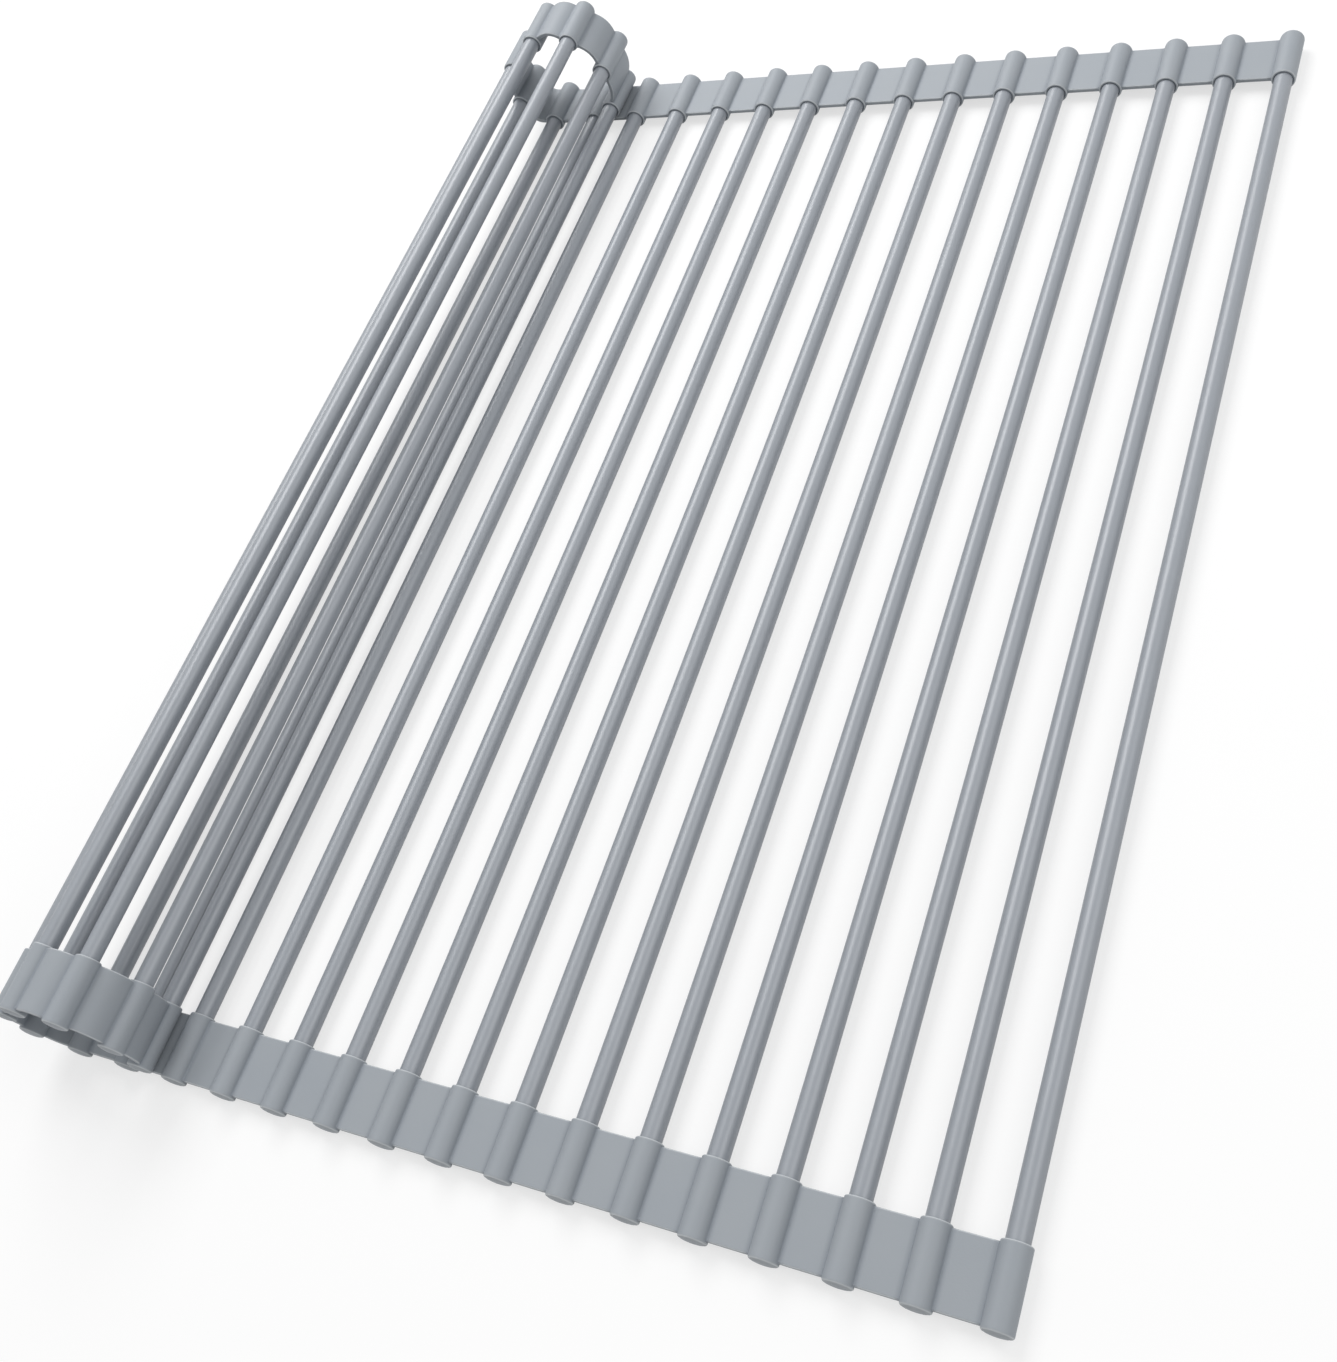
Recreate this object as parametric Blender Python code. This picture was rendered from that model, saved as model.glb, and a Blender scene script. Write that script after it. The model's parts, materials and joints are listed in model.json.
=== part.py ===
"""Roll-up dish drying rack, lying flat with one end curled over on itself.

Steel tubes with a silicone coating lie side by side, and both ends of each one sit in a
blind boss of a moulded silicone strip. A thin web joins each boss to the next and bends
like a hinge, so a strip is a chain of links that meet halfway along their webs. Rods run
along Y, the strips along X, the near strip is at -Y and the curl is at -X.
"""

import math

import bmesh
import bpy
from mathutils import Vector

# Rods: coated steel tubes, all alike
ROD_PITCH = 0.019
ROD_DIAMETER = 0.006
TUBE_WALL = 0.001
CLEAR_SPAN = 0.3895
ROD_SIDES = 16

# Strips: one along each end of the rods
STRIP_WIDTH = 0.019
BOSS_DIAMETER = 0.008
WEB_THICKNESS = 0.0016
WEB_FILLET = 0.0015
CAP_THICKNESS = 0.0025
RIM_CHAMFER = 0.0004
BOSS_ARC_STEPS = 7
FILLET_STEPS = 2
NOSE_STEPS = 3

# Fits
SOCKET_CLEARANCE = 0.0003
WEB_GAP = 0.0003
SEAT_GAP = 0.0003
SAME_POINT = 0.00003

# Links from the free end to the tip of the curl. Two rods share a link at the free end,
# where the rack rolls up last, and at the foot of the curl, where its tip comes to rest.
FREE_END_LINKS = 2
SINGLE_FLAT_LINKS = 9
CURL_LINKS = 7
PAIR_COUNT = 2

# Bends of the curl in degrees, from its foot on. The last two follow from where its tip
# rests, and no web bends further than the sharpest one when the rack is rolled up.
CURL_BENDS = (4.0, 72.0, 55.0, 21.0, 62.0)
SHARPEST_BEND = 72.0

ROD_RADIUS = ROD_DIAMETER / 2
BORE_RADIUS = ROD_RADIUS - TUBE_WALL
BOSS_RADIUS = BOSS_DIAMETER / 2
HALF_WEB = WEB_THICKNESS / 2
HALF_PITCH = ROD_PITCH / 2
SOCKET_RADIUS = ROD_RADIUS + SOCKET_CLEARANCE
SOCKET_DEPTH = STRIP_WIDTH - CAP_THICKNESS
SOCKET_SPAN = CLEAR_SPAN + 2 * SOCKET_DEPTH
ROD_LENGTH = SOCKET_SPAN - 2 * SOCKET_CLEARANCE

# Finishes
STRIP_COLOUR = (0.37, 0.40, 0.425, 1.0)
STRIP_ROUGHNESS = 0.55
COATING_COLOUR = (0.30, 0.335, 0.37, 1.0)
COATING_ROUGHNESS = 0.4
SHARP_EDGE = 40.0


def clear_scene():
    for item in list(bpy.data.objects):
        bpy.data.objects.remove(item, do_unlink=True)


def make_material(name, colour, roughness):
    """A plain Principled material in the part's own colour."""
    material = bpy.data.materials.new(name)
    material.use_nodes = True
    shader = material.node_tree.nodes["Principled BSDF"]
    shader.inputs["Base Color"].default_value = colour
    shader.inputs["Roughness"].default_value = roughness
    material.diffuse_color = colour
    return material


def place(name, mesh, parent, material=None):
    """An object of this mesh, held by its segment's empty."""
    item = bpy.data.objects.new(name, mesh)
    bpy.context.scene.collection.objects.link(item)
    item.parent = parent
    if material:
        mesh.materials.append(material)
    return item


def arc(centre, radius, start, end, steps):
    """Points from one angle to another, both included, in the XZ plane."""
    points = []
    for step in range(steps + 1):
        angle = start + (end - start) * step / steps
        points.append((centre[0] + radius * math.cos(angle), centre[1] + radius * math.sin(angle)))
    return points


def web_root():
    """Where a boss runs out into its web: (angle on the boss, distance along the web)."""
    reach = BOSS_RADIUS + WEB_FILLET
    rise = HALF_WEB + WEB_FILLET
    return math.asin(rise / reach), math.sqrt(reach**2 - rise**2)


def nose_setback():
    """How far a web's nose is centred from the hinge axis, for two to clear at their sharpest."""
    return (WEB_THICKNESS + WEB_GAP) / (2 * math.cos(math.radians(SHARPEST_BEND) / 2))


def upper_outline(rods, web_after, web_before):
    """The outline's upper half from the +X end to the -X end, for rods at x = 0, -pitch and on."""
    angle, reach = web_root()
    nose = HALF_PITCH - nose_setback()
    fillet_height = HALF_WEB + WEB_FILLET
    down = -math.pi / 2
    points = []
    if web_after:
        points += arc((nose, 0.0), HALF_WEB, 0.0, math.pi / 2, NOSE_STEPS)
    for rod in range(rods):
        middle = -rod * ROD_PITCH
        if rod > 0 or web_after:
            centre = (middle + reach, fillet_height)
            points += arc(centre, WEB_FILLET, down, angle - math.pi, FILLET_STEPS)
        else:
            points.append((middle + BOSS_RADIUS, 0.0))
        points += arc((middle, 0.0), BOSS_RADIUS, angle, math.pi - angle, BOSS_ARC_STEPS)
        if rod < rods - 1 or web_before:
            centre = (middle - reach, fillet_height)
            points += arc(centre, WEB_FILLET, -angle, down, FILLET_STEPS)
        else:
            points.append((middle - BOSS_RADIUS, 0.0))
    if web_before:
        far_nose = -(rods - 1) * ROD_PITCH - nose
        points += arc((far_nose, 0.0), HALF_WEB, math.pi / 2, math.pi, NOSE_STEPS)
    return points


def strip_outline(rods, web_after, web_before):
    """A link's whole outline: its upper half and the mirror image of it, without doubled points."""
    points = upper_outline(rods, web_after, web_before)
    points += [(x, -z) for x, z in reversed(points)]
    kept = []
    for point in points:
        if not kept or math.dist(point, kept[-1]) > SAME_POINT:
            kept.append(point)
    if math.dist(kept[0], kept[-1]) < SAME_POINT:
        kept.pop()
    return kept


def link_mesh(name, rods, first_rod_x, web_after, web_before, side):
    """A link's outline run out along Y from the rods' clear span, with its outer rim chamfered."""
    shape = bmesh.new()
    inner = side * CLEAR_SPAN / 2
    corners = []
    for x, z in strip_outline(rods, web_after, web_before):
        corners.append(shape.verts.new((first_rod_x + x, inner, z)))
    face = shape.faces.new(corners)
    run = bmesh.ops.extrude_face_region(shape, geom=[face], use_keep_orig=True)
    outer = [item for item in run["geom"] if isinstance(item, bmesh.types.BMFace)]
    moved = [item for item in run["geom"] if isinstance(item, bmesh.types.BMVert)]
    bmesh.ops.translate(shape, verts=moved, vec=(0.0, side * (STRIP_WIDTH - RIM_CHAMFER), 0.0))
    bmesh.ops.recalc_face_normals(shape, faces=shape.faces)
    bmesh.ops.inset_region(shape, faces=outer, thickness=RIM_CHAMFER, depth=RIM_CHAMFER)
    return finish_mesh(name, shape)


def finish_mesh(name, shape):
    """The shape as a mesh whose round sides are smooth and whose rims stay crisp."""
    bmesh.ops.recalc_face_normals(shape, faces=shape.faces)
    mesh = bpy.data.meshes.new(name)
    shape.to_mesh(mesh)
    shape.free()
    mesh.shade_smooth()
    mesh.set_sharp_from_angle(angle=math.radians(SHARP_EDGE))
    return mesh


def ring(shape, radius, x, y):
    """A closed ring of edges about a rod's axis, with a flat side facing down."""
    turn = math.pi / ROD_SIDES
    corners = []
    for side in range(ROD_SIDES):
        angle = turn * (2 * side + 1)
        corners.append(shape.verts.new((x + radius * math.sin(angle), y, radius * math.cos(angle))))
    return [shape.edges.new((corners[n - 1], corners[n])) for n in range(ROD_SIDES)]


def tube_mesh(name, x):
    """A rod's tube, open at both ends."""
    shape = bmesh.new()
    half = ROD_LENGTH / 2
    rings = [
        ring(shape, BORE_RADIUS, x, -half),
        ring(shape, ROD_RADIUS, x, -half),
        ring(shape, ROD_RADIUS, x, half),
        ring(shape, BORE_RADIUS, x, half),
    ]
    for before, after in zip(rings, rings[1:] + rings[:1]):
        bmesh.ops.bridge_loops(shape, edges=before + after)
    return finish_mesh(name, shape)


def socket_cutter(name, x, parent):
    """The space of one rod's two sockets, cut from the links at both of its ends."""
    shape = bmesh.new()
    half = SOCKET_SPAN / 2
    rings = ring(shape, SOCKET_RADIUS, x, -half) + ring(shape, SOCKET_RADIUS, x, half)
    bmesh.ops.bridge_loops(shape, edges=rings)
    bmesh.ops.holes_fill(shape, edges=shape.edges, sides=0)
    cutter = place(name, finish_mesh(name, shape), parent)
    cutter.hide_render = True
    cutter.display_type = "WIRE"
    return cutter


def cut(item, cutter):
    modifier = item.modifiers.new(cutter.name, "BOOLEAN")
    modifier.operation = "DIFFERENCE"
    modifier.solver = "EXACT"
    modifier.object = cutter


def heading_step(bend_total, length):
    """The way along the curl at this total bend: towards -X at first, then up and over."""
    angle = math.radians(bend_total)
    return Vector((-length * math.cos(angle), length * math.sin(angle)))


def all_curl_bends():
    """The curl's bends, with the last two worked out so that its tip rests on its foot.

    Places here are (x, z) from the last flat rod. The tip's rod lies over the middle of the
    foot's web, and its boss stands the seat gap above that web.
    """
    hinge = Vector((-ROD_PITCH - HALF_PITCH, 0.0))
    total = 0.0
    for bend in CURL_BENDS:
        total += bend
        hinge += heading_step(total, ROD_PITCH)
    seat = Vector((-HALF_PITCH, BOSS_RADIUS + HALF_WEB + SEAT_GAP))
    to_seat = seat - hinge
    spread = to_seat.length_squared - ROD_PITCH**2 - HALF_PITCH**2
    last = math.acos(spread / (2 * ROD_PITCH * HALF_PITCH))
    lead = math.atan2(HALF_PITCH * math.sin(last), ROD_PITCH + HALF_PITCH * math.cos(last))
    direction = math.atan2(to_seat.y, -to_seat.x) % math.tau
    return (*CURL_BENDS, math.degrees(direction - lead) - total, math.degrees(last))


def segments():
    """Every segment from the free end on, as (how many rods it holds, the bend that leads to it)."""
    listed = [(PAIR_COUNT, 0.0)] * FREE_END_LINKS
    listed += [(1, 0.0)] * SINGLE_FLAT_LINKS
    listed.append((PAIR_COUNT, 0.0))
    listed += [(1, bend) for bend in all_curl_bends()[:CURL_LINKS]]
    return listed


def segment_empty(number, parent, x, bend):
    """The empty that a segment turns with, on the hinge that joins it to the segment before."""
    empty = bpy.data.objects.new(f"segment_{number:02d}_hinge", None)
    bpy.context.scene.collection.objects.link(empty)
    empty.empty_display_size = ROD_PITCH
    empty.parent = parent
    empty.location = (x, 0.0, 0.0)
    empty.rotation_euler = (0.0, math.radians(bend), 0.0)
    return empty


def build_segment(number, first_rod, rods, empty, first_rod_x, ends, materials):
    """One segment: its rods, and the links of the near and far strips that hold them."""
    strip_material, rod_material = materials
    pieces = []
    cutters = []
    for rod in range(rods):
        name = f"rod_{first_rod + rod:02d}"
        x = first_rod_x - rod * ROD_PITCH
        pieces.append(place(name, tube_mesh(name, x), empty, rod_material))
        cutters.append(socket_cutter(f"{name}_socket_cutter", x, empty))
    for strip, side in (("near", -1), ("far", 1)):
        name = f"{strip}_strip_link_{number:02d}"
        link = place(name, link_mesh(name, rods, first_rod_x, *ends, side), empty, strip_material)
        for cutter in cutters:
            cut(link, cutter)
        pieces.append(link)
    return pieces


def stand_on_origin(root, pieces):
    """Moves the whole rack so that its box stands on the origin, centred."""
    bpy.context.view_layer.update()
    places = [piece.matrix_world @ vertex.co for piece in pieces for vertex in piece.data.vertices]
    middle = (min(p.x for p in places) + max(p.x for p in places)) / 2
    root.location = (-middle, 0.0, -min(p.z for p in places))


def main():
    clear_scene()
    materials = (
        make_material("strip_silicone", STRIP_COLOUR, STRIP_ROUGHNESS),
        make_material("rod_coating", COATING_COLOUR, COATING_ROUGHNESS),
    )
    listed = segments()
    pieces = []
    parent = root = None
    next_hinge_x = 0.0
    first_rod = 1
    for number, (rods, bend) in enumerate(listed, start=1):
        empty = segment_empty(number, parent, next_hinge_x, bend)
        root = root or empty
        first_rod_x = 0.0 if parent is None else -HALF_PITCH
        ends = (parent is not None, number < len(listed))
        pieces += build_segment(number, first_rod, rods, empty, first_rod_x, ends, materials)
        next_hinge_x = first_rod_x - (rods - 1) * ROD_PITCH - HALF_PITCH
        first_rod += rods
        parent = empty
    stand_on_origin(root, pieces)


main()
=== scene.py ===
"""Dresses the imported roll-up drying rack: coated rods, moulded side strips and a small studio.

The rods run along Y and the strips along X, with the near strip at -Y. Each strip is made
of bosses, which hold the rods' ends and never bend, and of thin webs that join each boss
to the next and bend with the rack. Everything is in metres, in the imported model's frame.
"""

import json
import logging
import math
from collections.abc import Callable
from dataclasses import dataclass
from enum import Enum

import bmesh
import bpy
from mathutils import Matrix, Vector
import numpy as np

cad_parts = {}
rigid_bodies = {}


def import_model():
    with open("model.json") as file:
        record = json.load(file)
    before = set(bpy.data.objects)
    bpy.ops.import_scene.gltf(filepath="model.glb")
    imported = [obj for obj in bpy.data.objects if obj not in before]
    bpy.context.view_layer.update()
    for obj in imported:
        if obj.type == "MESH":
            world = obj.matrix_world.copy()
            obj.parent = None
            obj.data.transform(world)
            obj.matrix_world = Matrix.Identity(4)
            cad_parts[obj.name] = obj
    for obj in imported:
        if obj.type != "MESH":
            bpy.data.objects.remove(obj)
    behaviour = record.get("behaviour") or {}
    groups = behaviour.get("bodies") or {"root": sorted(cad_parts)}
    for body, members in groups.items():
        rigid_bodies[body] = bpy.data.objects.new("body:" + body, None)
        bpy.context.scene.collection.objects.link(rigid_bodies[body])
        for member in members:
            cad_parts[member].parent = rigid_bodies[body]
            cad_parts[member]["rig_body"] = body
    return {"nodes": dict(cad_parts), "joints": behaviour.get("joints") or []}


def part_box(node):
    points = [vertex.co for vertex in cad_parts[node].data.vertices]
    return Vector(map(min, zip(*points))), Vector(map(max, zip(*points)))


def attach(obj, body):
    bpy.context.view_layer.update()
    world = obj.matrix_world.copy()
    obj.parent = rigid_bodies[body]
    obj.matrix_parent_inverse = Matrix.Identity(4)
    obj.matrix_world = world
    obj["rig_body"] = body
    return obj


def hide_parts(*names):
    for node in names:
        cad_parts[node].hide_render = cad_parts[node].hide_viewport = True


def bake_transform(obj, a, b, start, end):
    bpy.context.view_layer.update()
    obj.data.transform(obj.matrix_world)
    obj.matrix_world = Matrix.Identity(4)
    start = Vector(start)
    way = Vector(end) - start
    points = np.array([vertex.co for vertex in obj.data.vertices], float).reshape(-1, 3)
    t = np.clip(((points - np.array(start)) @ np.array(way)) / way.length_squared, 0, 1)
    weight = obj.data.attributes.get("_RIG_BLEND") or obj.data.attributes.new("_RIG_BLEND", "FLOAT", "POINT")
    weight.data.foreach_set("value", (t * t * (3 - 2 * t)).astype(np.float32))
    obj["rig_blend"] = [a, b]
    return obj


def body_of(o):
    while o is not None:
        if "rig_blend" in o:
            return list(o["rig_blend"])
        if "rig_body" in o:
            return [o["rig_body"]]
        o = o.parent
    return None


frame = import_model()

log = logging.getLogger("drying_rack")

DOWN_THE_ROW = Vector((-1.0, 0.0, 0.0))
# The name of the points' painted shade, in the creases and the sockets' mouths
CREASE_SHADE = "crease"
EVEN = (1.0, 1.0, 1.0)
WHITE = (1.0, 1.0, 1.0, 1.0)
NOISE_MIDDLE = 0.5

# A Mix node's sockets for colours, which have the same names as its sockets for numbers
MIX_FACTOR, MIX_FIRST, MIX_SECOND = 0, 6, 7
MIX_RESULT = 2

Triple = tuple[float, float, float]
Colour = tuple[float, float, float, float]


class Side(Enum):
    """The two side strips, each with the sign of Y that it lies on."""

    NEAR = -1
    FAR = 1

    @property
    def label(self) -> str:
        """The strip's name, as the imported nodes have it."""
        return self.name.lower()


class BossKind(Enum):
    """The ways a boss's webs go: 1 towards the boss before it (+X), -1 to the one after it."""

    FIRST = (-1.0,)
    MIDDLE = (1.0, -1.0)
    LAST = (1.0,)


class Element(Enum):
    """The kinds of mesh element that can be picked, each with the name of a mesh's list."""

    VERT = "verts"
    EDGE = "edges"
    FACE = "faces"


# Modelling with operators


class Bench:
    """The edit-mode steps that every piece is shaped with."""

    @staticmethod
    def clear() -> None:
        """Leaves edit mode and deselects everything."""
        if bpy.context.mode != "OBJECT":
            bpy.ops.object.mode_set(mode="OBJECT")
        bpy.ops.object.select_all(action="DESELECT")

    @staticmethod
    def take(piece: bpy.types.Object) -> None:
        """Makes this piece the only selected one, and the active one.

        Args:
            piece: The object to take.
        """
        Bench.clear()
        piece.select_set(True)
        bpy.context.view_layer.objects.active = piece

    @staticmethod
    def edit(piece: bpy.types.Object) -> None:
        """Opens the piece in edit mode with its faces selectable and none selected.

        Args:
            piece: The object to edit.
        """
        Bench.take(piece)
        bpy.ops.object.mode_set(mode="EDIT")
        bpy.ops.mesh.select_mode(type="FACE")
        bpy.ops.mesh.select_all(action="DESELECT")

    @staticmethod
    def bar(name: str, facets: int, radius: float, length: float,
            middle_y: float = 0.0) -> bpy.types.Object:
        """Starts a round bar along Y.

        Args:
            name: Its name.
            facets: How many sides it has.
            radius: Its radius, to the edges between its sides.
            length: Its length.
            middle_y: The Y of its middle.

        Returns:
            The bar, open in edit mode.
        """
        Bench.clear()
        bpy.ops.mesh.primitive_cylinder_add(
            vertices=facets, radius=radius, depth=length,
            location=(0.0, middle_y, 0.0), rotation=(math.pi / 2, 0.0, 0.0))
        return Bench.start(name)

    @staticmethod
    def start(name: str) -> bpy.types.Object:
        """Names the object that was just added and settles its transform.

        Args:
            name: The object's name.

        Returns:
            The object, open in edit mode.
        """
        piece = bpy.context.active_object
        piece.name = name
        bpy.ops.object.transform_apply(location=True, rotation=True, scale=True)
        Bench.edit(piece)
        return piece

    @staticmethod
    def pick(piece: bpy.types.Object, kind: Element, test: Callable[..., bool]) -> None:
        """Selects the elements of one kind that pass a test, and nothing else.

        Args:
            piece: The object that is open in edit mode.
            kind: The kind of element, which also becomes the select mode.
            test: Says whether an element is wanted.
        """
        bpy.ops.mesh.select_all(action="DESELECT")
        bpy.ops.mesh.select_mode(type=kind.name)
        shape = bmesh.from_edit_mesh(piece.data)
        for element in getattr(shape, kind.value):
            if test(element):
                element.select_set(True)
        bmesh.update_edit_mesh(piece.data)

    @staticmethod
    def finish(piece: bpy.types.Object, material: bpy.types.Material, sharp_degrees: float) -> None:
        """Gives a piece its material and its smooth shading, with the faces turned outwards.

        Args:
            piece: The object to finish.
            material: Its material.
            sharp_degrees: Edges that turn further than this stay crisp.
        """
        Bench.clear()
        piece.data.materials.append(material)
        Bench.edit(piece)
        bpy.ops.mesh.select_all(action="SELECT")
        bpy.ops.mesh.normals_make_consistent(inside=False)
        Bench.take(piece)
        bpy.ops.object.shade_smooth_by_angle(angle=math.radians(sharp_degrees))
        weigh = piece.modifiers.new("weigh_normals", "WEIGHTED_NORMAL")
        weigh.keep_sharp = True
        bpy.ops.object.modifier_apply(modifier=weigh.name)

    @staticmethod
    def copy(master: bpy.types.Object, name: str, place: Matrix) -> bpy.types.Object:
        """Copies a master with a mesh of its own and sets the copy's place into that mesh.

        Args:
            master: The object to copy.
            name: The copy's name.
            place: Where the master's origin goes, and how it is turned.

        Returns:
            The copy, which sits at the origin, unturned.
        """
        piece = master.copy()
        piece.data = master.data.copy()
        piece.name = piece.data.name = name
        bpy.context.scene.collection.objects.link(piece)
        piece.matrix_world = place
        Bench.take(piece)
        bpy.ops.object.transform_apply(location=True, rotation=True, scale=True)
        return piece

    @staticmethod
    def discard(master: bpy.types.Object) -> None:
        """Removes a master once its copies are made."""
        bpy.data.objects.remove(master, do_unlink=True)


# Shader wiring


@dataclass(frozen=True)
class Wire:
    """One value in a material's node tree, on which shader maths is written."""

    tree: bpy.types.NodeTree
    socket: bpy.types.NodeSocket

    def maths(self, operation: str, first: "Wire | float", second: "Wire | float") -> "Wire":
        """Adds one Math node.

        Args:
            operation: The node's operation.
            first: Its first value.
            second: Its second value.

        Returns:
            The node's result.
        """
        sockets = {0: first, 1: second}
        return Recipe(self.tree).node("ShaderNodeMath", {"operation": operation}, sockets)

    def __add__(self, other: "Wire | float") -> "Wire":
        """This value plus another."""
        return self.maths("ADD", self, other)

    def __radd__(self, other: float) -> "Wire":
        """A number plus this value."""
        return self.maths("ADD", other, self)

    def __sub__(self, other: "Wire | float") -> "Wire":
        """This value less another."""
        return self.maths("SUBTRACT", self, other)

    def __rsub__(self, other: float) -> "Wire":
        """A number less this value."""
        return self.maths("SUBTRACT", other, self)

    def __mul__(self, other: "Wire | float") -> "Wire":
        """This value times another."""
        return self.maths("MULTIPLY", self, other)

    def __rmul__(self, other: float) -> "Wire":
        """A number times this value."""
        return self.maths("MULTIPLY", other, self)

    def __pow__(self, other: float) -> "Wire":
        """This value to a power."""
        return self.maths("POWER", self, other)

    def __rpow__(self, other: float) -> "Wire":
        """A number to the power of this value."""
        return self.maths("POWER", other, self)


@dataclass(frozen=True)
class Recipe:
    """Adds nodes to one node tree."""

    tree: bpy.types.NodeTree

    def node(self, kind: str, settings: dict[str, object], sockets: dict[int | str, object],
             output: int | str = 0) -> Wire:
        """Adds one node.

        Args:
            kind: The node's type.
            settings: Its own settings, set first.
            sockets: A value or a wire for each named or numbered input.
            output: Which output the wire is taken from.

        Returns:
            A wire from that output.
        """
        made = self.tree.nodes.new(kind)
        for name, value in settings.items():
            setattr(made, name, value)
        for key, value in sockets.items():
            if isinstance(value, Wire):
                self.tree.links.new(value.socket, made.inputs[key])
            else:
                made.inputs[key].default_value = value
        return Wire(self.tree, made.outputs[output])

    def noise(self, scale: float, detail: float, stretch: Triple = EVEN) -> Wire:
        """Adds soft noise on the piece's Object coordinates.

        Args:
            scale: Waves in a metre.
            detail: How many finer layers it has.
            stretch: How far each axis is scaled before the noise is read.

        Returns:
            The noise, from 0 to 1.
        """
        place = self.node("ShaderNodeTexCoord", {}, {}, "Object")
        turned = self.node("ShaderNodeMapping", {}, {"Vector": place, "Scale": stretch})
        sockets = {"Vector": turned, "Scale": scale, "Detail": detail}
        return self.node("ShaderNodeTexNoise", {}, sockets)

    def relief(self, *layers: tuple[Wire, float]) -> Wire:
        """Turns layers of noise into one bumped normal.

        Args:
            layers: Each layer's noise and height, from the broadest to the finest.

        Returns:
            The normal.
        """
        below = {}
        for noise, height in layers:
            sockets = {"Distance": height, "Height": noise, **below}
            normal = self.node("ShaderNodeBump", {}, sockets, "Normal")
            below = {"Normal": normal}
        return normal

    def seen(self) -> Wire:
        """Tells the rays that show a thing to the camera, straight or by way of another thing.

        Returns:
            1 for such a ray, and 0 for any other.
        """
        camera, mirrored, through = [
            self.node("ShaderNodeLightPath", {}, {}, ray)
            for ray in ("Is Camera Ray", "Is Glossy Ray", "Is Transmission Ray")]
        return camera + mirrored + through

    def blend_colours(self, share: Wire, first: Colour | Wire, second: Colour | Wire) -> Wire:
        """Mixes two colours.

        Args:
            share: How much of the second colour shows, from 0 to 1.
            first: The colour at 0.
            second: The colour at 1.

        Returns:
            The mixed colour.
        """
        settings = {"data_type": "RGBA", "clamp_factor": True}
        sockets = {MIX_FACTOR: share, MIX_FIRST: first, MIX_SECOND: second}
        return self.node("ShaderNodeMix", settings, sockets, MIX_RESULT)


def new_material(name: str) -> tuple[bpy.types.Material, Recipe, bpy.types.Node]:
    """Starts a material.

    Args:
        name: The material's name.

    Returns:
        The material, the recipe that adds to it and its Principled shader.
    """
    material = bpy.data.materials.new(name)
    material.use_nodes = True
    tree = material.node_tree
    return material, Recipe(tree), tree.nodes["Principled BSDF"]


def feed(wire: Wire, node: bpy.types.Node, socket: str) -> None:
    """Leads a wire to a node's named input."""
    wire.tree.links.new(wire.socket, node.inputs[socket])


@dataclass(frozen=True)
class MouldedSilicone:
    """The strips' matt silicone: a fine mould grain, a painted highlight on the rounded rims and painted
    shade in the creases and the sockets' mouths.
    """

    name: str = "moulded_silicone"
    colour: Colour = (0.342, 0.367, 0.392, 1.0)
    deep_colour: Colour = (0.296, 0.326, 0.362, 1.0)
    # Painted highlight colour for the rounded rims
    rim_colour: Colour = (0.55, 0.58, 0.60, 1.0)
    # Painted shade colour for the creases and the sockets' mouths
    crease_colour: Colour = (0.255, 0.282, 0.316, 1.0)
    roughness: float = 0.56
    roughness_swing: float = 0.10
    rim_gain: float = 4.0
    rim_power: float = 0.7
    cloud_scale: float = 42.0
    cloud_detail: float = 3.0
    grain_scale: float = 1900.0
    grain_detail: float = 2.0
    grain_height: float = 0.000022
    wave_scale: float = 140.0
    wave_detail: float = 1.0
    wave_height: float = 0.00005

    def material(self) -> bpy.types.Material:
        """Makes the finish.

        The rims get a painted highlight, a paler colour that stands in for the light catching them. They are
        told by their slant: their normals lie between the barrel's, which are square to Y, and the caps',
        which run along it.

        Returns:
            The material.
        """
        material, recipe, shader = new_material(self.name)
        cloud = recipe.noise(self.cloud_scale, self.cloud_detail)
        body = recipe.blend_colours(cloud, self.deep_colour, self.colour)
        normal = recipe.node("ShaderNodeNewGeometry", {}, {}, "Normal")
        across = recipe.node("ShaderNodeSeparateXYZ", {}, {"Vector": normal}, "Y")
        edge_on = across * across
        # Painted highlight: the rounded rims are painted paler, as if lit
        rim_highlight = (edge_on * (1.0 - edge_on) * self.rim_gain) ** self.rim_power
        highlighted_rim_colour = recipe.blend_colours(rim_highlight, self.colour, self.rim_colour)
        body_with_rim_highlight = recipe.blend_colours(rim_highlight, body, highlighted_rim_colour)
        # Painted shade in the creases beside the webs and in the sockets' mouths, read from the points
        crease = recipe.node("ShaderNodeAttribute", {"attribute_name": CREASE_SHADE}, {}, "Fac")
        feed(recipe.blend_colours(crease, body_with_rim_highlight, self.crease_colour), shader, "Base Color")
        feed(self.roughness + (cloud - NOISE_MIDDLE) * self.roughness_swing, shader, "Roughness")
        wave = recipe.noise(self.wave_scale, self.wave_detail)
        grain = recipe.noise(self.grain_scale, self.grain_detail)
        relief = recipe.relief((wave, self.wave_height), (grain, self.grain_height))
        feed(relief, shader, "Normal")
        return material


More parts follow.
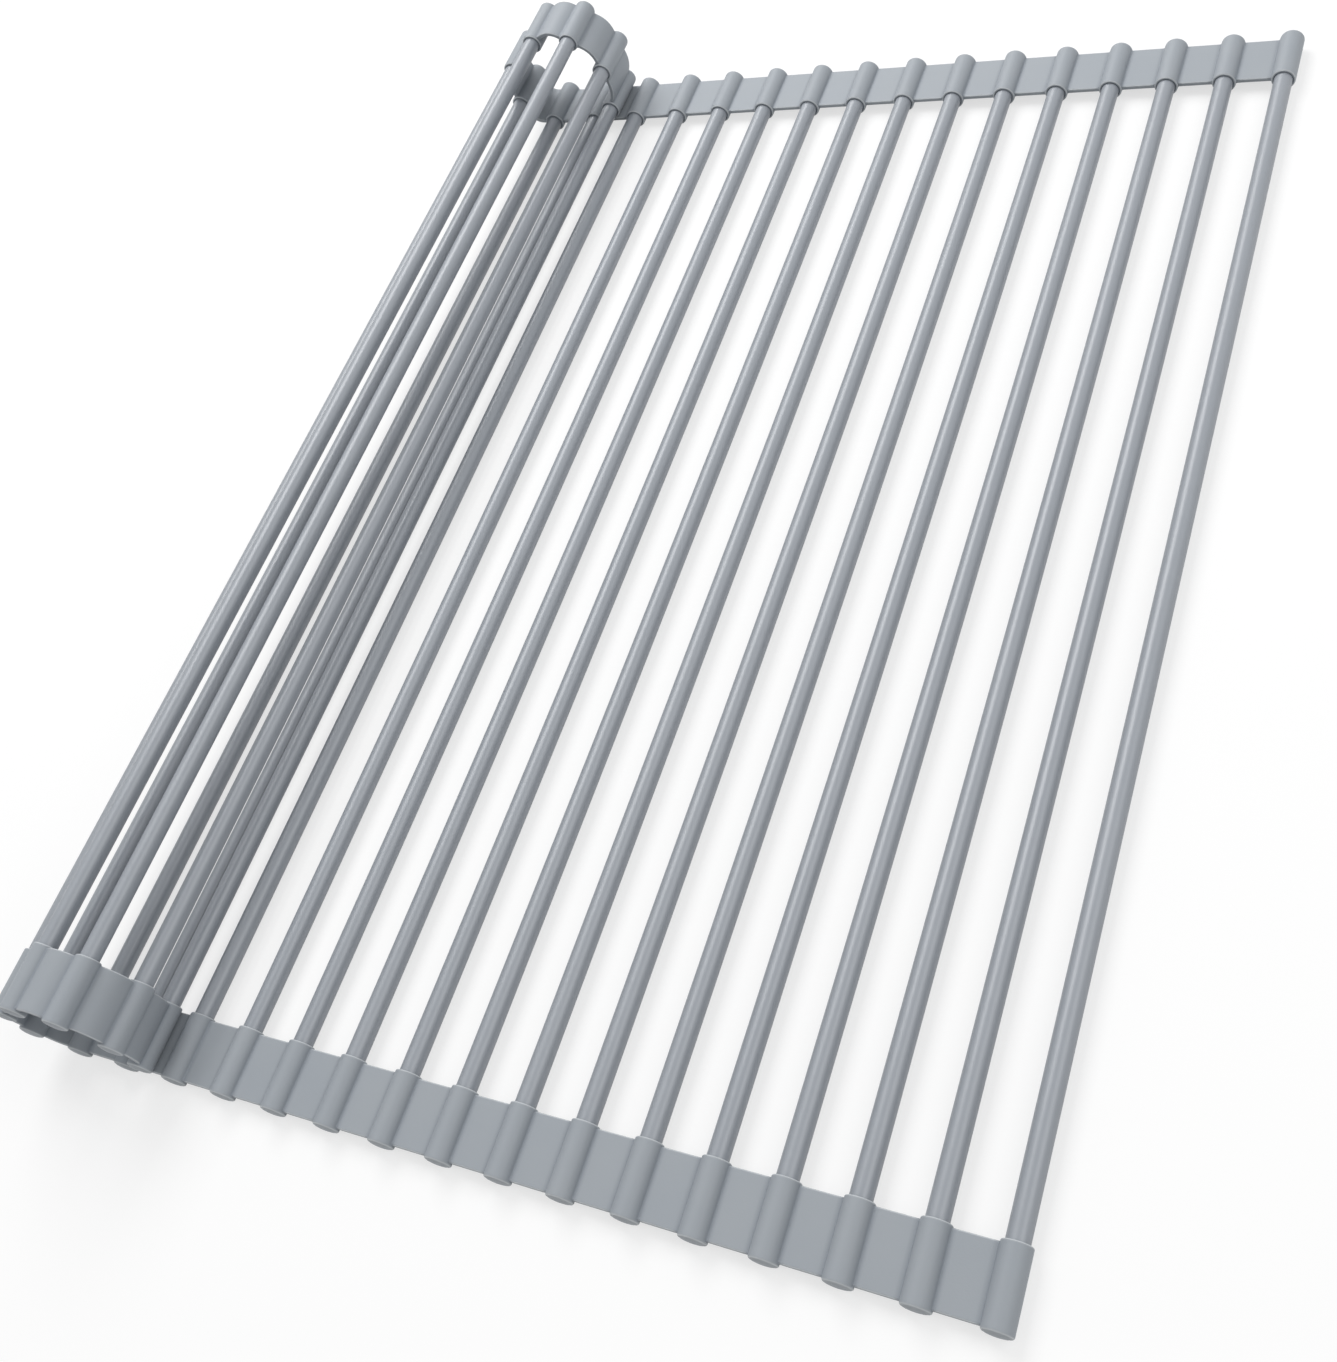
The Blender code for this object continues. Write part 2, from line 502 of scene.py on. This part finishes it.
@dataclass(frozen=True)
class RodCoating:
    """The rods' satin coating: a little bluer, with a slight unevenness along each rod."""

    name: str = "rod_coating_satin"
    colour: Colour = (0.311, 0.335, 0.368, 1.0)
    deep_colour: Colour = (0.275, 0.300, 0.335, 1.0)
    roughness: float = 0.37
    specular: float = 0.8
    roughness_swing: float = 0.12
    cloud_scale: float = 60.0
    cloud_detail: float = 3.0
    cloud_stretch: Triple = (1.0, 0.25, 1.0)
    peel_scale: float = 520.0
    peel_detail: float = 2.0
    peel_height: float = 0.00003
    run_scale: float = 170.0
    run_detail: float = 1.0
    run_stretch: Triple = (1.0, 0.3, 1.0)
    run_height: float = 0.00008

    def material(self) -> bpy.types.Material:
        """Makes the finish.

        Returns:
            The material.
        """
        material, recipe, shader = new_material(self.name)
        cloud = recipe.noise(self.cloud_scale, self.cloud_detail, self.cloud_stretch)
        shader.inputs["Specular IOR Level"].default_value = self.specular
        feed(recipe.blend_colours(cloud, self.deep_colour, self.colour), shader, "Base Color")
        feed(self.roughness + (cloud - NOISE_MIDDLE) * self.roughness_swing, shader, "Roughness")
        run = recipe.noise(self.run_scale, self.run_detail, self.run_stretch)
        peel = recipe.noise(self.peel_scale, self.peel_detail)
        feed(recipe.relief((run, self.run_height), (peel, self.peel_height)), shader, "Normal")
        return material


# The rack


@dataclass(frozen=True)
class Seat:
    """Where one rod lies: its number, its axis, how far it is rolled up, and its body."""

    number: int
    x: float
    z: float
    bend: float
    body: str

    @property
    def place(self) -> Matrix:
        """How a piece modelled about the origin gets to this rod."""
        return Matrix.Translation((self.x, 0.0, self.z)) @ Matrix.Rotation(self.bend, 4, "Y")

    @property
    def heading(self) -> Vector:
        """The way from this rod towards the tip of the curl."""
        return Matrix.Rotation(self.bend, 3, "Y") @ DOWN_THE_ROW


@dataclass
class Layout:
    """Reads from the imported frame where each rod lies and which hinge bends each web."""

    rods: int = 22
    flat_enough: float = 0.01

    def __post_init__(self) -> None:
        """Reads every rod's seat."""
        self.seats = [self.read_seat(number) for number in range(1, self.rods + 1)]

    def read_seat(self, number: int) -> Seat:
        """Reads one rod's seat.

        Args:
            number: The rod's number, from 1 at the free end.

        Returns:
            Its seat.
        """
        name = f"rod_{number:02d}"
        low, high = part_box(name)
        middle = (low + high) / 2
        body = body_of(frame["nodes"][name])[0]
        hinge = self.hinge_into(body)
        bend = 0.0
        if hinge is not None:
            # A rod lies straight ahead of the hinge that carries it, however far it is turned.
            lead = Vector((middle.x - hinge.x, middle.z - hinge.z))
            bend = math.atan2(lead.y, -lead.x)
            if bend < -self.flat_enough:
                bend += math.tau
        return Seat(number, middle.x, middle.z, bend, body)

    @staticmethod
    def hinge_into(body: str) -> Vector | None:
        """The place of the hinge that carries a body, or None for the first one."""
        places = [Vector(joint["pos_m"]) for joint in frame["joints"] if joint["child"] == body]
        return places[0] if places else None


@dataclass
class CoatedRods:
    """The row of coated steel tubes."""

    layout: Layout
    material: bpy.types.Material
    radius: float = 0.003
    wall: float = 0.001
    length: float = 0.4219
    rim_round: float = 0.0003
    rim_steps: int = 3
    facets: int = 48
    end_facing: float = 0.9
    sharp_degrees: float = 35.0

    def build(self) -> list[bpy.types.Object]:
        """Makes every rod.

        Returns:
            The rods, each riding on its own body.
        """
        master = self.model_tube()
        made = []
        for seat in self.layout.seats:
            name = f"coated_rod_{seat.number:02d}"
            piece = Bench.copy(master, name, seat.place)
            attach(piece, seat.body)
            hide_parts(f"rod_{seat.number:02d}")
            made.append(piece)
        Bench.discard(master)
        return made

    def model_tube(self) -> bpy.types.Object:
        """Models one tube about the origin, along Y: a bar whose ends are inset and bridged.

        Returns:
            The tube.
        """
        tube = Bench.bar("tube_master", self.facets, self.radius, self.length)
        Bench.pick(tube, Element.FACE, lambda face: abs(face.normal.y) > self.end_facing)
        bpy.ops.mesh.inset(thickness=self.wall)
        bpy.ops.mesh.bridge_edge_loops()
        Bench.pick(tube, Element.EDGE, self.is_rim)
        bpy.ops.mesh.bevel(offset=self.rim_round, segments=self.rim_steps, affect="EDGES")
        Bench.finish(tube, self.material, self.sharp_degrees)
        return tube

    def is_rim(self, edge: bmesh.types.BMEdge) -> bool:
        """Whether an edge runs round the outside of one of the tube's ends."""
        return all(abs(abs(vert.co.y) - self.length / 2) < self.rim_round
                   and vert.co.xz.length > self.radius - self.rim_round
                   for vert in edge.verts)


@dataclass
class SideStrip:
    """One side strip: a boss for every rod, and the webs between them."""

    layout: Layout
    side: Side
    material: bpy.types.Material
    pitch: float = 0.019
    clear_span: float = 0.3895
    width: float = 0.019
    boss_radius: float = 0.00394
    half_web: float = 0.0008
    socket_radius: float = 0.00305
    socket_depth: float = 0.0165
    facets: int = 60
    root_facets: int = 3
    fillet_steps: int = 5
    stub_reach: float = 0.0053
    cap_stand: float = 0.0008
    mouth_stand: float = 0.0006
    dome_rings: tuple[tuple[float, float], ...] = (
        (0.86, 0.00016), (0.72, 0.00012), (0.45, 0.00006))
    cap_round: float = 0.0006
    lip_round: float = 0.0005
    mouth_round: float = 0.0003
    edge_round: float = 0.0005
    round_steps: int = 4
    crease_spread: float = 0.0007
    web_steps: int = 18
    rigid_end: float = 0.0004
    same_place: float = 0.00001
    sharp_degrees: float = 35.0

    def build(self) -> list[bpy.types.Object]:
        """Makes the whole strip.

        Returns:
            Its bosses and webs.
        """
        made = self.build_bosses()
        seats = self.layout.seats
        flat = self.model_web(0.0)
        for before, after in zip(seats, seats[1:]):
            bend = after.bend - before.bend
            curved = bend > self.same_place
            master = self.model_web(bend) if curved else flat
            name = f"{self.side.label}_web_{before.number:02d}"
            piece = Bench.copy(master, name, before.place)
            self.carry_web(piece, before, after)
            made.append(piece)
            if curved:
                Bench.discard(master)
        Bench.discard(flat)
        return made

    def build_bosses(self) -> list[bpy.types.Object]:
        """Makes the bosses.

        Returns:
            The bosses, each riding on its rod's body.
        """
        masters = {kind: self.model_boss(kind) for kind in BossKind}
        middle = [BossKind.MIDDLE] * (len(self.layout.seats) - 2)
        kinds = [BossKind.FIRST, *middle, BossKind.LAST]
        made = []
        replaced = set()
        for seat, kind in zip(self.layout.seats, kinds):
            name = f"{self.side.label}_boss_{seat.number:02d}"
            piece = Bench.copy(masters[kind], name, seat.place)
            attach(piece, seat.body)
            link = seat.body.replace("segment", f"{self.side.label}_strip_link")
            if link not in replaced:
                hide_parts(link)
                replaced.add(link)
            made.append(piece)
        for master in masters.values():
            Bench.discard(master)
        return made

    def carry_web(self, piece: bpy.types.Object, before: Seat, after: Seat) -> None:
        """Lets a web ride on one body, or bend between the two that it joins.

        Args:
            piece: The web, in place.
            before: The seat of the boss it leaves.
            after: The seat of the boss it reaches.
        """
        if before.body == after.body:
            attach(piece, before.body)
            return
        y = self.middle_y
        start = Vector((before.x, y, before.z)) + before.heading * self.stub_reach
        end = Vector((after.x, y, after.z)) - after.heading * self.stub_reach
        inward = (end - start).normalized() * self.rigid_end
        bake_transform(piece, before.body, after.body,
                 start=tuple(start + inward), end=tuple(end - inward))

    @property
    def middle_y(self) -> float:
        """The Y of the strip's centre line."""
        return self.side.value * (self.clear_span + self.width) / 2

    @property
    def inner_y(self) -> float:
        """The Y of the edge that faces the rods' clear span."""
        return self.side.value * self.clear_span / 2

    @property
    def outer_y(self) -> float:
        """The Y of the strip's outer edge."""
        return self.inner_y + self.side.value * self.width

    @property
    def cap_y(self) -> float:
        """The Y of the caps, which stand a little past the strip's outer edge."""
        return self.outer_y + self.side.value * self.cap_stand

    @property
    def mouth_y(self) -> float:
        """The Y of the sockets' mouths, which stand a little past the strip's inner edge."""
        return self.inner_y - self.side.value * self.mouth_stand

    def in_strip(self, y: float) -> bool:
        """Whether a Y lies between the edges of the strip's webs, or on one of them."""
        return abs(y - self.middle_y) < self.width / 2.0 + self.same_place

    def fillet_point(self, share: float) -> tuple[float, float]:
        """Works out a point on the fillet, which leaves the boss at an edge between two facets.

        Args:
            share: How far along it lies, from 0 on the boss to 1 on the web.

        Returns:
            Its X, for the web at +X, and its height over the web's middle plane.
        """
        angle = math.tau / self.facets * self.root_facets
        radius = (self.boss_radius * math.sin(angle) - self.half_web) / (1.0 - math.sin(angle))
        turn = angle - math.pi + (math.pi / 2 - angle) * share
        x = (self.boss_radius + radius) * math.cos(angle) + radius * math.cos(turn)
        return x, self.half_web + radius + radius * math.sin(turn)

    def edge_rows(self) -> list[tuple[float, float]]:
        """Works out the rows of points that round a web's long edges.

        Returns:
            For each row its Y, and how far it lies below the web's face.
        """
        rows = []
        for plane, inward in ((self.outer_y, -self.side.value), (self.inner_y, self.side.value)):
            for step in range(self.round_steps + 1):
                turn = math.pi / 2.0 * step / self.round_steps
                y = plane + inward * self.edge_round * (1.0 - math.sin(turn))
                rows.append((y, self.edge_round * (1.0 - math.cos(turn))))
        return rows

    def model_boss(self, kind: BossKind) -> bpy.types.Object:
        """Models one boss about the rod's axis, with the roots of its webs.

        A bar is cut into rows and gets a blind socket. The facets on the side of each web are
        extruded out in steps that follow the fillet, and their rows are lowered to round the
        root's edges. Last, the cap's and the mouth's rims are rounded and the cap is domed.

        Args:
            kind: Which webs it has.

        Returns:
            The boss.
        """
        boss = Bench.bar(f"boss_master_{kind.name.lower()}", self.facets, self.boss_radius,
                         abs(self.cap_y - self.mouth_y), (self.cap_y + self.mouth_y) / 2.0)
        for y, _ in self.edge_rows():
            bpy.ops.mesh.select_all(action="SELECT")
            bpy.ops.mesh.bisect(plane_co=(0.0, y, 0.0), plane_no=(0.0, 1.0, 0.0))
        Bench.pick(boss, Element.FACE, lambda face: self.in_plane(face, self.mouth_y))
        bpy.ops.mesh.inset(thickness=self.boss_radius - self.socket_radius)
        bpy.ops.mesh.extrude_region_move(
            TRANSFORM_OT_translate={"value": (0.0, self.side.value * self.socket_depth, 0.0)})
        for way in kind.value:
            rings = self.draw_out_root(boss, way)
            self.round_root(boss, rings)
        self.round_rims(boss)
        self.dome_cap(boss)
        Bench.finish(boss, self.material, self.sharp_degrees)
        # Paints shade into the creases and the sockets' mouths
        self.mark_creases(boss, kind)
        return boss

    def mark_creases(self, boss: bpy.types.Object, kind: BossKind) -> None:
        """Stores on each point how much painted shade it gets: full in the socket's mouth, and fading away
        from the crease beside a web.

        Args:
            boss: The finished boss.
            kind: Which webs it has.
        """
        halfway = 0.5
        crease = Vector(self.fillet_point(halfway))
        lip = self.socket_radius + self.mouth_round + self.same_place
        shade_amounts = []
        for vert in boss.data.vertices:
            x, y, z = vert.co
            if abs(y - self.cap_y) > self.width / 2.0 and vert.co.xz.length < lip:
                shade_amounts.append(1.0)
            elif self.in_strip(y):
                nearest = min((Vector((x * way, abs(z))) - crease).length for way in kind.value)
                shade_amounts.append(math.exp(-((nearest / self.crease_spread) ** 2)))
            else:
                shade_amounts.append(0.0)
        store = boss.data.attributes.new(CREASE_SHADE, "FLOAT", "POINT")
        store.data.foreach_set("value", shade_amounts)

    def draw_out_root(self, boss: bpy.types.Object, way: float) -> list[tuple[float, float]]:
        """Extrudes a boss's side facets along the fillet and on into the web's root.

        Args:
            boss: The boss, open in edit mode.
            way: 1 for the web at +X, -1 for the one at -X.

        Returns:
            The X and the half height of each ring of points that was drawn out.
        """
        reach, height = self.fillet_point(0.0)
        Bench.pick(boss, Element.FACE, lambda face: self.starts_root(face, reach, way))
        rings = []
        for step in range(1, self.fillet_steps + 1):
            x, next_height = self.fillet_point(step / self.fillet_steps)
            self.extrude_to(way * x, next_height / height)
            rings.append((way * x, next_height))
            height = next_height
        self.extrude_to(way * self.stub_reach, 1.0)
        rings.append((way * self.stub_reach, height))
        bpy.ops.mesh.dissolve_faces()
        for plane in (self.inner_y, self.outer_y):
            Bench.pick(boss, Element.FACE, lambda face: self.in_plane(face, plane)
                       and self.is_beyond(face, reach, way))
            bpy.ops.mesh.dissolve_faces()
        return rings

    def starts_root(self, face: bmesh.types.BMFace, reach: float, way: float) -> bool:
        """Whether a facet of the bare boss lies in the strip and faces the web on one side."""
        centre = face.calc_center_median()
        return self.in_strip(centre.y) and centre.x * way > reach - self.same_place

    def is_beyond(self, face: bmesh.types.BMFace, reach: float, way: float) -> bool:
        """Whether no corner of a face is nearer to the rod's axis, on one side, than this."""
        return all(vert.co.x * way >= reach - self.same_place for vert in face.verts)

    def in_plane(self, face: bmesh.types.BMFace, plane: float) -> bool:
        """Whether a face lies in the plane at this Y."""
        return all(abs(vert.co.y - plane) < self.same_place for vert in face.verts)

    @staticmethod
    def extrude_to(x: float, height_share: float) -> None:
        """Extrudes the selected faces, flattens them at an X and scales their height."""
        bpy.ops.mesh.extrude_region_move()
        bpy.ops.transform.resize(value=(0.0, 1.0, height_share), center_override=(x, 0.0, 0.0))

    def round_root(self, boss: bpy.types.Object, rings: list[tuple[float, float]]) -> None:
        """Rounds the long edges of a web's root by lowering its rows near both edges.

        Args:
            boss: The boss, open in edit mode.
            rings: The X and the half height of each ring of points on the root.
        """
        for x, height in rings:
            for y, drop in self.edge_rows():
                row = Vector((x, y))
                Bench.pick(boss, Element.VERT,
                           lambda vert: (vert.co.xy - row).length < self.same_place)
                bpy.ops.transform.resize(
                    value=(1.0, 1.0, 1.0 - drop / height), center_override=(x, y, 0.0))

    def round_rims(self, boss: bpy.types.Object) -> None:
        """Rounds the cap's rim, the lip round the mouth and the mouth of the socket.

        Args:
            boss: The boss, open in edit mode.
        """
        for plane, radius, rounding in (
            (self.cap_y, self.boss_radius, self.cap_round),
            (self.mouth_y, self.boss_radius, self.lip_round),
            (self.mouth_y, self.socket_radius, self.mouth_round),
        ):
            Bench.pick(boss, Element.EDGE, lambda edge: self.is_rim(edge, plane, radius))
            bpy.ops.mesh.bevel(offset=rounding, segments=self.round_steps, affect="EDGES")

    def is_rim(self, edge: bmesh.types.BMEdge, plane: float, radius: float) -> bool:
        """Whether an edge is part of the circle of this radius in a boss's end plane."""
        return all(abs(vert.co.y - plane) < self.same_place
                   and abs(vert.co.xz.length - radius) < self.same_place
                   for vert in edge.verts)

    def dome_cap(self, boss: bpy.types.Object) -> None:
        """Raises the middle of the cap in a few shallow rings.

        Args:
            boss: The boss, open in edit mode.
        """
        Bench.pick(boss, Element.FACE, lambda face: self.in_plane(face, self.cap_y))
        for share, rise in self.dome_rings:
            bpy.ops.mesh.extrude_region_move()
            bpy.ops.transform.resize(
                value=(share, 1.0, share), center_override=(0.0, self.cap_y, 0.0))
            bpy.ops.transform.translate(value=(0.0, self.side.value * rise, 0.0))

    def model_web(self, bend: float) -> bpy.types.Object:
        """Models one web, from the root on a boss at the origin to the root on the next boss.

        A plate on edge gets round corners. It is then extruded along the row, or spun up and
        over where the rack is curled.

        Args:
            bend: How far the next boss is turned against this one, in radians.

        Returns:
            The web.
        """
        Bench.clear()
        bpy.ops.mesh.primitive_plane_add(
            size=1.0, location=(-self.stub_reach, self.middle_y, 0.0),
            rotation=(0.0, -math.pi / 2, 0.0))
        bpy.context.active_object.scale = (2.0 * self.half_web, self.width, 1.0)
        web = Bench.start("web_master")
        Bench.pick(web, Element.VERT, lambda vert: True)
        bpy.ops.mesh.bevel(offset=self.edge_round, segments=self.round_steps, affect="VERTICES")
        Bench.pick(web, Element.FACE, lambda face: True)
        length = self.pitch - 2.0 * self.stub_reach
        if bend > self.same_place:
            radius = length / 2.0 / math.tan(bend / 2.0)
            bpy.ops.mesh.spin(steps=self.web_steps, angle=-bend, axis=(0.0, 1.0, 0.0),
                              center=(-self.stub_reach, 0.0, radius))
        else:
            for _ in range(self.web_steps):
                bpy.ops.mesh.extrude_region_move(
                    TRANSFORM_OT_translate={"value": (-length / self.web_steps, 0.0, 0.0)})
        Bench.finish(web, self.material, self.sharp_degrees)
        return web


# The studio


@dataclass(frozen=True)
class Lamp:
    """One soft box: its name, where it hangs, the point it faces, its size and its watts."""

    name: str
    place: Triple
    aim: Triple
    length: float
    height: float
    power: float

    def hang(self) -> None:
        """Adds the lamp, with its length level."""
        data = bpy.data.lights.new(self.name, "AREA")
        data.shape = "RECTANGLE"
        data.size, data.size_y = self.length, self.height
        data.energy = self.power
        lamp = bpy.data.objects.new(self.name, data)
        bpy.context.scene.collection.objects.link(lamp)
        lamp.location = self.place
        way = Vector(self.aim) - Vector(self.place)
        lamp.rotation_euler = way.to_track_quat("-Z", "Y").to_euler()


@dataclass
class Studio:
    """A pale floor, soft lamps and the camera."""

    floor_size: float = 24.0
    floor_gap: float = 0.0002
    floor_colour: Colour = (0.72, 0.72, 0.72, 1.0)
    floor_seen_colour: Colour = (0.98, 0.98, 0.98, 1.0)
    floor_roughness: float = 0.9
    floor_white_share: float = 0.66
    floor_fade: tuple[float, float] = (0.35, 1.4)
    world_strength: float = 0.46
    lamps: tuple[Lamp, ...] = (
        Lamp("key_lamp", (-0.66, 1.05, 1.27), (0.0, 1.05, 0.0), 1.65, 0.8, 22.8),
        Lamp("side_lamp", (1.70, 0.40, 1.90), (0.0, 0.0, 0.0), 1.5, 1.5, 15.5),
    )
    lens: float = 41.106
    sensor: float = 36.0
    clip_start: float = 0.01
    camera_place: Triple = (0.22408, -0.26195, 0.37475)
    camera_turn_degrees: Triple = (33.66825, 19.62277, 20.08003)

    def build(self) -> None:
        """Makes the floor, the lamps, the world and the camera."""
        self.build_floor()
        self.build_world()
        for lamp in self.lamps:
            lamp.hang()
        self.build_camera()
        bpy.context.scene.view_settings.view_transform = "Standard"

    def build_floor(self) -> None:
        """Lays the floor, which the camera sees as white apart from the rack's shadow.

        The white fades in fully away from the rack, so that the floor has no visible end.
        """
        Bench.clear()
        bpy.ops.mesh.primitive_plane_add(size=self.floor_size, location=(0.0, 0.0, -self.floor_gap))
        floor = bpy.context.active_object
        floor.name = "floor"
        material, recipe, shader = new_material("studio_floor")
        shader.inputs["Roughness"].default_value = self.floor_roughness
        shader.inputs["Specular IOR Level"].default_value = 0.0
        white = recipe.node("ShaderNodeEmission", {}, {"Color": WHITE, "Strength": 1.0})
        seen = recipe.seen()
        colour = recipe.blend_colours(seen, self.floor_colour, self.floor_seen_colour)
        feed(colour, shader, "Base Color")
        lit = Wire(recipe.tree, shader.outputs["BSDF"])
        place = recipe.node("ShaderNodeTexCoord", {}, {}, "Object")
        away = recipe.node("ShaderNodeVectorMath", {"operation": "LENGTH"}, {0: place}, "Value")
        white_share = recipe.node("ShaderNodeMapRange", {"clamp": True}, {
            "Value": away, "From Min": self.floor_fade[0], "From Max": self.floor_fade[1],
            "To Min": self.floor_white_share, "To Max": 1.0})
        sockets = {"Fac": seen * white_share, 1: lit, 2: white}
        mixed = recipe.node("ShaderNodeMixShader", {}, sockets)
        feed(mixed, material.node_tree.nodes["Material Output"], "Surface")
        floor.data.materials.append(material)

    def build_world(self) -> None:
        """Sets a plain pale world that the camera and reflections see as white."""
        world = bpy.data.worlds.new("studio_world")
        world.use_nodes = True
        bpy.context.scene.world = world
        background = world.node_tree.nodes["Background"]
        background.inputs["Color"].default_value = WHITE
        seen = Recipe(world.node_tree).seen()
        strength = self.world_strength + seen * (1.0 - self.world_strength)
        feed(strength, background, "Strength")

    def build_camera(self) -> None:
        """Sets the camera at the photograph's angle."""
        data = bpy.data.cameras.new("photo_camera")
        data.lens = self.lens
        data.sensor_width = self.sensor
        data.clip_start = self.clip_start
        camera = bpy.data.objects.new("photo_camera", data)
        bpy.context.scene.collection.objects.link(camera)
        camera.location = self.camera_place
        camera.rotation_euler = [math.radians(turn) for turn in self.camera_turn_degrees]
        bpy.context.scene.camera = camera


def main() -> None:
    """Builds the rack's looks in order and logs how many pieces the rods and each strip have."""
    logging.basicConfig(level=logging.INFO, format="%(name)s: %(message)s")
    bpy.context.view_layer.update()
    layout = Layout()
    silicone = MouldedSilicone().material()
    coating = RodCoating().material()
    rods = CoatedRods(layout, coating).build()
    log.info("rods: %d", len(rods))
    for side in Side:
        pieces = SideStrip(layout, side, silicone).build()
        log.info("%s strip: %d pieces", side.label, len(pieces))
    Studio().build()


if __name__ == "__main__":
    main()
